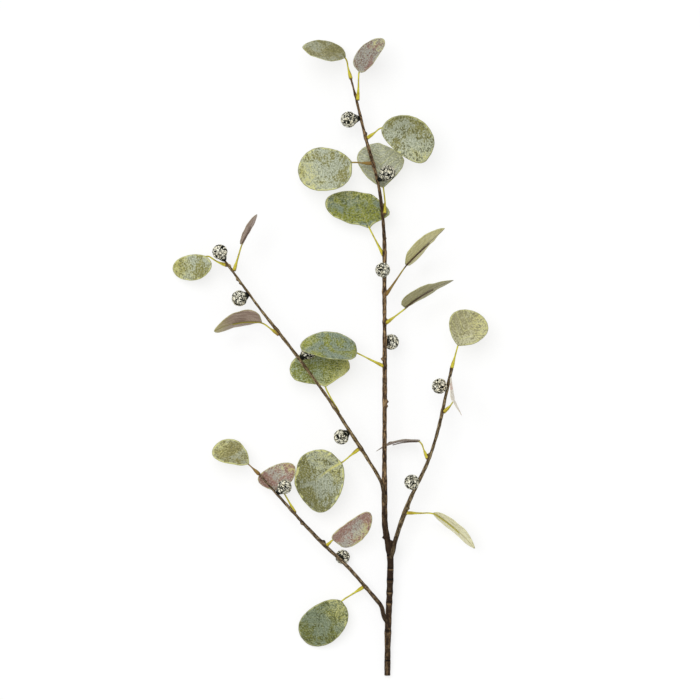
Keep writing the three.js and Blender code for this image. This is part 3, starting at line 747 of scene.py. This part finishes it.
class Blade:
    """A leaf blade read from its solid: a flat frame, its rim, its midrib's line and its bend."""

    def __init__(self, node, spine):
        points, neighbours = welded(node)
        middle = points.mean(0)
        normal = np.linalg.svd(points - middle)[2][2]
        if normal @ (middle - spine.mean(0)) < 0:
            normal = -normal
        forward = spine[-1] - spine[0]
        forward = unit(forward - normal * (forward @ normal))
        self.axes = np.array([np.cross(forward, normal), forward, normal])
        self.origin = spine[0]
        local = self.flat(points)
        spine_local = self.flat(spine)
        self.midrib = np.polyfit(spine_local[:, 1], spine_local[:, 0], 2)
        self.bend = np.linalg.lstsq(self.terms(local[:, 0], local[:, 1]), local[:, 2], rcond=None)[0]

        flat = local[:, :2]
        self.centre = (flat.min(0) + flat.max(0)) / 2
        edges = np.array([(i, j) for i, near in enumerate(neighbours) for j in near if i < j])
        self.rim_angles = np.radians(np.arange(0, 360, RIM_STEP))
        self.rim_radii = self.outline(flat[edges[:, 0]] - self.centre, flat[edges[:, 1]] - self.centre)
        self.base = local[:, 1].min()

    def flat(self, points):
        return (points - self.origin) @ self.axes.T

    def place(self, local):
        return self.origin + local @ self.axes

    def from_midrib(self, x, y):
        return x - np.polyval(self.midrib, np.clip(y, 0, MIDRIB_END))

    def terms(self, x, y):
        """What the blade's height is fitted with: powers of the place, and the distance from the midrib."""
        off = np.abs(self.from_midrib(x, y) * FIT_SCALE)
        x, y = x * FIT_SCALE, y * FIT_SCALE
        return np.stack([np.ones_like(x), x, y, x * x, x * y, y * y, y**3, x * x * y, off], -1)

    def outline(self, starts, ends):
        """How far from the centre the outermost edge is at each rim angle, of edges from starts to ends."""
        radii = []
        for angle in self.rim_angles:
            out = np.array([math.cos(angle), math.sin(angle)])
            turned = np.array([-out[1], out[0]])
            a, b = starts @ turned, ends @ turned
            crossed = a * b < 0
            share = a[crossed] / (a[crossed] - b[crossed])
            radii.append(((1 - share) * (starts[crossed] @ out) + share * (ends[crossed] @ out)).max())
        return np.array(radii)

    def radius(self, angles, waviness, phases):
        """The rim's distance from the centre, smoothed, with a slow waver."""
        fine = np.linspace(-np.pi, np.pi, RIM_POINTS, endpoint=False)
        radii = np.interp(fine, self.rim_angles, self.rim_radii, period=2 * np.pi)
        window = bump(np.arange(-RIM_WINDOW, RIM_WINDOW + 1), RIM_WINDOW + 1)
        wrapped = np.r_[radii[-RIM_WINDOW:], radii, radii[:RIM_WINDOW]]
        smooth = np.convolve(wrapped, window / window.sum(), "valid")
        found = np.interp(angles, fine, smooth, period=2 * np.pi)
        for k in range(2, 8):
            found = found + waviness * MM * 0.35 * np.sin(k * angles + phases[k]) / math.sqrt(k)
        return found


def toward(points, side):
    """How far each point lies towards a side of the blade, from 0 to that side's strength."""
    degrees, strength = side
    direction = np.array([math.cos(math.radians(degrees)), math.sin(math.radians(degrees))])
    reach = points[:, :2] @ direction
    share = (reach - reach.min()) / (reach.max() - reach.min())
    return strength * np.clip(1.6 * share - 0.6, 0, 1)


def blade_piece(number, blade, look):
    """A thin cloth blade: two rippled faces that meet at a soft rim, with a crease along the midrib."""
    ripple = look["ripple"]
    generator = np.random.default_rng(BLADE_SEED + number)
    phases = generator.uniform(0, 2 * np.pi, 12)
    angles = np.linspace(0, 2 * np.pi, BLADE_SPOKES, endpoint=False)
    shares = (np.arange(BLADE_RINGS + 1) / BLADE_RINGS) ** 0.8
    rim_radius = blade.radius(angles, ripple, phases)
    share, angle = np.meshgrid(shares[1:], angles, indexing="ij")
    reach = np.broadcast_to(rim_radius, share.shape)
    x = blade.centre[0] + share * reach * np.cos(angle)
    y = blade.centre[1] + share * reach * np.sin(angle)
    x = np.r_[blade.centre[0], x.reshape(-1)]
    y = np.r_[blade.centre[1], y.reshape(-1)]
    share = np.r_[0, share.reshape(-1)]
    angle = np.r_[0, angle.reshape(-1)]
    inside = np.r_[rim_radius.mean(), ((1 - share[1:]) * np.tile(rim_radius, BLADE_RINGS))]

    z = blade.terms(x, y) @ blade.bend
    wave = np.sin(3 * angle + phases[8]) + 0.7 * np.sin(5 * angle + phases[9])
    wave = wave + 0.4 * np.sin(9 * angle + phases[10])
    z = z + ripple * MM * 0.55 * share**3 * wave
    off = blade.from_midrib(x, y)
    along_crease = (y - blade.base) / (CREASE_LENGTH_MM * MM)
    crease = np.exp(-np.abs(off) / (CREASE_WIDTH_MM * MM)) * np.clip(1 - along_crease, 0, 1)
    z = z - CREASE_DEPTH_MM * MM * crease
    half = BLADE_THICKNESS_MM * MM / 2 * np.sqrt(np.clip(1 - share**10, 0, 1))

    count = len(x)
    top = blade.place(np.stack([x, y, z + half], -1))
    below = blade.place(np.stack([x, y, z - half], -1))
    rim_first = count - BLADE_SPOKES
    points = np.vstack([top, below[:rim_first]])
    mm = np.stack([off / MM, (y - blade.base) / MM, inside / MM], -1)
    under = np.r_[np.zeros(rim_first), np.full(BLADE_SPOKES, 0.5), np.ones(rim_first)]
    attributes = {
        "leaf_mm": np.vstack([mm, mm[:rim_first]]),
        "sides": np.stack([toward(points, look["glow"]), toward(points, look["deep_tone_and_painted_shadow"]), under], -1),
    }

    def ring(level, spoke, lower):
        """The point's index. The outermost ring is shared by both faces."""
        index = 1 + level * BLADE_SPOKES + spoke % BLADE_SPOKES
        return index + count if lower and level < BLADE_RINGS - 1 else index

    faces = []
    for lower in (False, True):
        for spoke in range(BLADE_SPOKES):
            strip = [(count if lower else 0, ring(0, spoke, lower), ring(0, spoke + 1, lower))]
            for level in range(BLADE_RINGS - 1):
                strip.append(
                    (
                        ring(level, spoke, lower),
                        ring(level + 1, spoke, lower),
                        ring(level + 1, spoke + 1, lower),
                        ring(level, spoke + 1, lower),
                    )
                )
            faces += [f[::-1] for f in strip] if lower else strip
    material = leaf_material(f"{number:02d}", look, SPINES.get(number), number * 23.7)
    name = f"leaf_blade_{number:02d}"
    make_object(f"cloth_{name}", points, faces, attributes, material, name)


def build_branch(nodes):
    height_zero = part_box("main_stem")[0].y
    stems = {name: tube_rings(nodes[name], lambda p: p[1]) for name in STEM_TONES}
    lines = {name: resampled(*stems[name], STEM_LINE_STEP_MM * MM)[0] for name in stems}
    wood = np.vstack(list(lines.values()))

    def from_wood(point):
        return np.linalg.norm(wood - point, axis=1).min()

    numbers = range(1, len(LEAVES) + 1)
    stalks = {number: tube_rings(nodes[f"leaf_stalk_{number:02d}"], from_wood) for number in numbers}
    joints = [centres[0] for centres, _ in stalks.values()]
    for index, name in enumerate(STEM_TONES):
        trunk = None if name == "main_stem" else lines["main_stem"]
        stem_piece(name, stems[name], trunk, joints, height_zero, STEM_SEED + index)

    for number, look in zip(numbers, LEAVES):
        rings = stalks[number]
        node = nodes[f"leaf_blade_{number:02d}"]
        curve = resampled(*rings, SPINE_STEP_MM * MM)[0]
        points = welded(node)[0]
        gaps = np.array([np.linalg.norm(points - p, axis=1).min() for p in curve])
        under = np.argmax(gaps < SPINE_GAP_MM * MM)
        stalk_piece(number, rings, float(under * SPINE_STEP_MM), from_wood)
        blade_piece(number, Blade(node, curve[under:]), LEAF_DEFAULTS | look)

    speckles = seed_material()
    seeds = sorted(n for n in nodes if n.startswith("seed_head_"))
    for index, name in enumerate(seeds):
        centre, radius, neck = ball_and_neck(nodes[name], from_wood)
        seed_piece(index + 1, centre, radius, neck, speckles)


# The stage


def add_floor(height):
    mesh = bpy.data.meshes.new("floor")
    corners = [(x * FLOOR_HALF, y * FLOOR_HALF, height) for x, y in ((-1, -1), (1, -1), (1, 1), (-1, 1))]
    mesh.from_pydata(corners, [], [(0, 1, 2, 3)])
    nodes = Nodes("floor", 0.9)
    nodes.shader.inputs["Base Color"].default_value = (FLOOR_GREY, FLOOR_GREY, FLOOR_GREY, 1)
    nodes.shader.inputs["Emission Color"].default_value = (1, 1, 1, 1)
    nodes.shader.inputs["Emission Strength"].default_value = FLOOR_EMISSION
    mesh.materials.append(nodes.material)
    floor = bpy.data.objects.new("floor", mesh)
    bpy.context.scene.collection.objects.link(floor)


def add_light():
    """A white sky and one broad sun."""
    scene = bpy.context.scene
    world = bpy.data.worlds.new("studio")
    world.use_nodes = True
    world.node_tree.nodes["Background"].inputs["Color"].default_value = (1, 1, 1, 1)
    world.node_tree.nodes["Background"].inputs["Strength"].default_value = SKY_STRENGTH
    scene.world = world
    light = bpy.data.lights.new("key", "SUN")
    light.energy = SUN_STRENGTH
    light.angle = math.radians(SUN_SPREAD)
    lamp = bpy.data.objects.new("key", light)
    lamp.rotation_euler = Vector(SUN_DIRECTION).to_track_quat("-Z", "Y").to_euler()
    scene.collection.objects.link(lamp)
    scene.view_settings.view_transform = "Standard"


def add_camera(lowest, highest):
    middle = (lowest + highest) / 2
    camera = bpy.data.cameras.new("camera")
    camera.sensor_width = SENSOR_MM
    camera.lens = SENSOR_MM * CAMERA_DISTANCE / VIEW_WIDTH
    camera.clip_end = 100
    holder = bpy.data.objects.new("camera", camera)
    holder.location = middle + Vector((*VIEW_MIDDLE, CAMERA_DISTANCE))
    bpy.context.scene.collection.objects.link(holder)
    bpy.context.scene.camera = holder


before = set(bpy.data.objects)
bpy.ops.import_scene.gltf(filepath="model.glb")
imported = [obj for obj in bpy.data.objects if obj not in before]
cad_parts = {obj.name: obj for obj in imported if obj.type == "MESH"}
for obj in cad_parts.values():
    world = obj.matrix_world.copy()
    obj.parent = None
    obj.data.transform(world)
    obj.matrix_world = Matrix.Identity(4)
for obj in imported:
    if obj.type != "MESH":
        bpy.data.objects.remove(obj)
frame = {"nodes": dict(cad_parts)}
cad_box = [list(corner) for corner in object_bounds()]
build_branch(frame["nodes"])
add_floor(cad_box[0][2])
add_light()
add_camera(Vector(cad_box[0]), Vector(cad_box[1]))
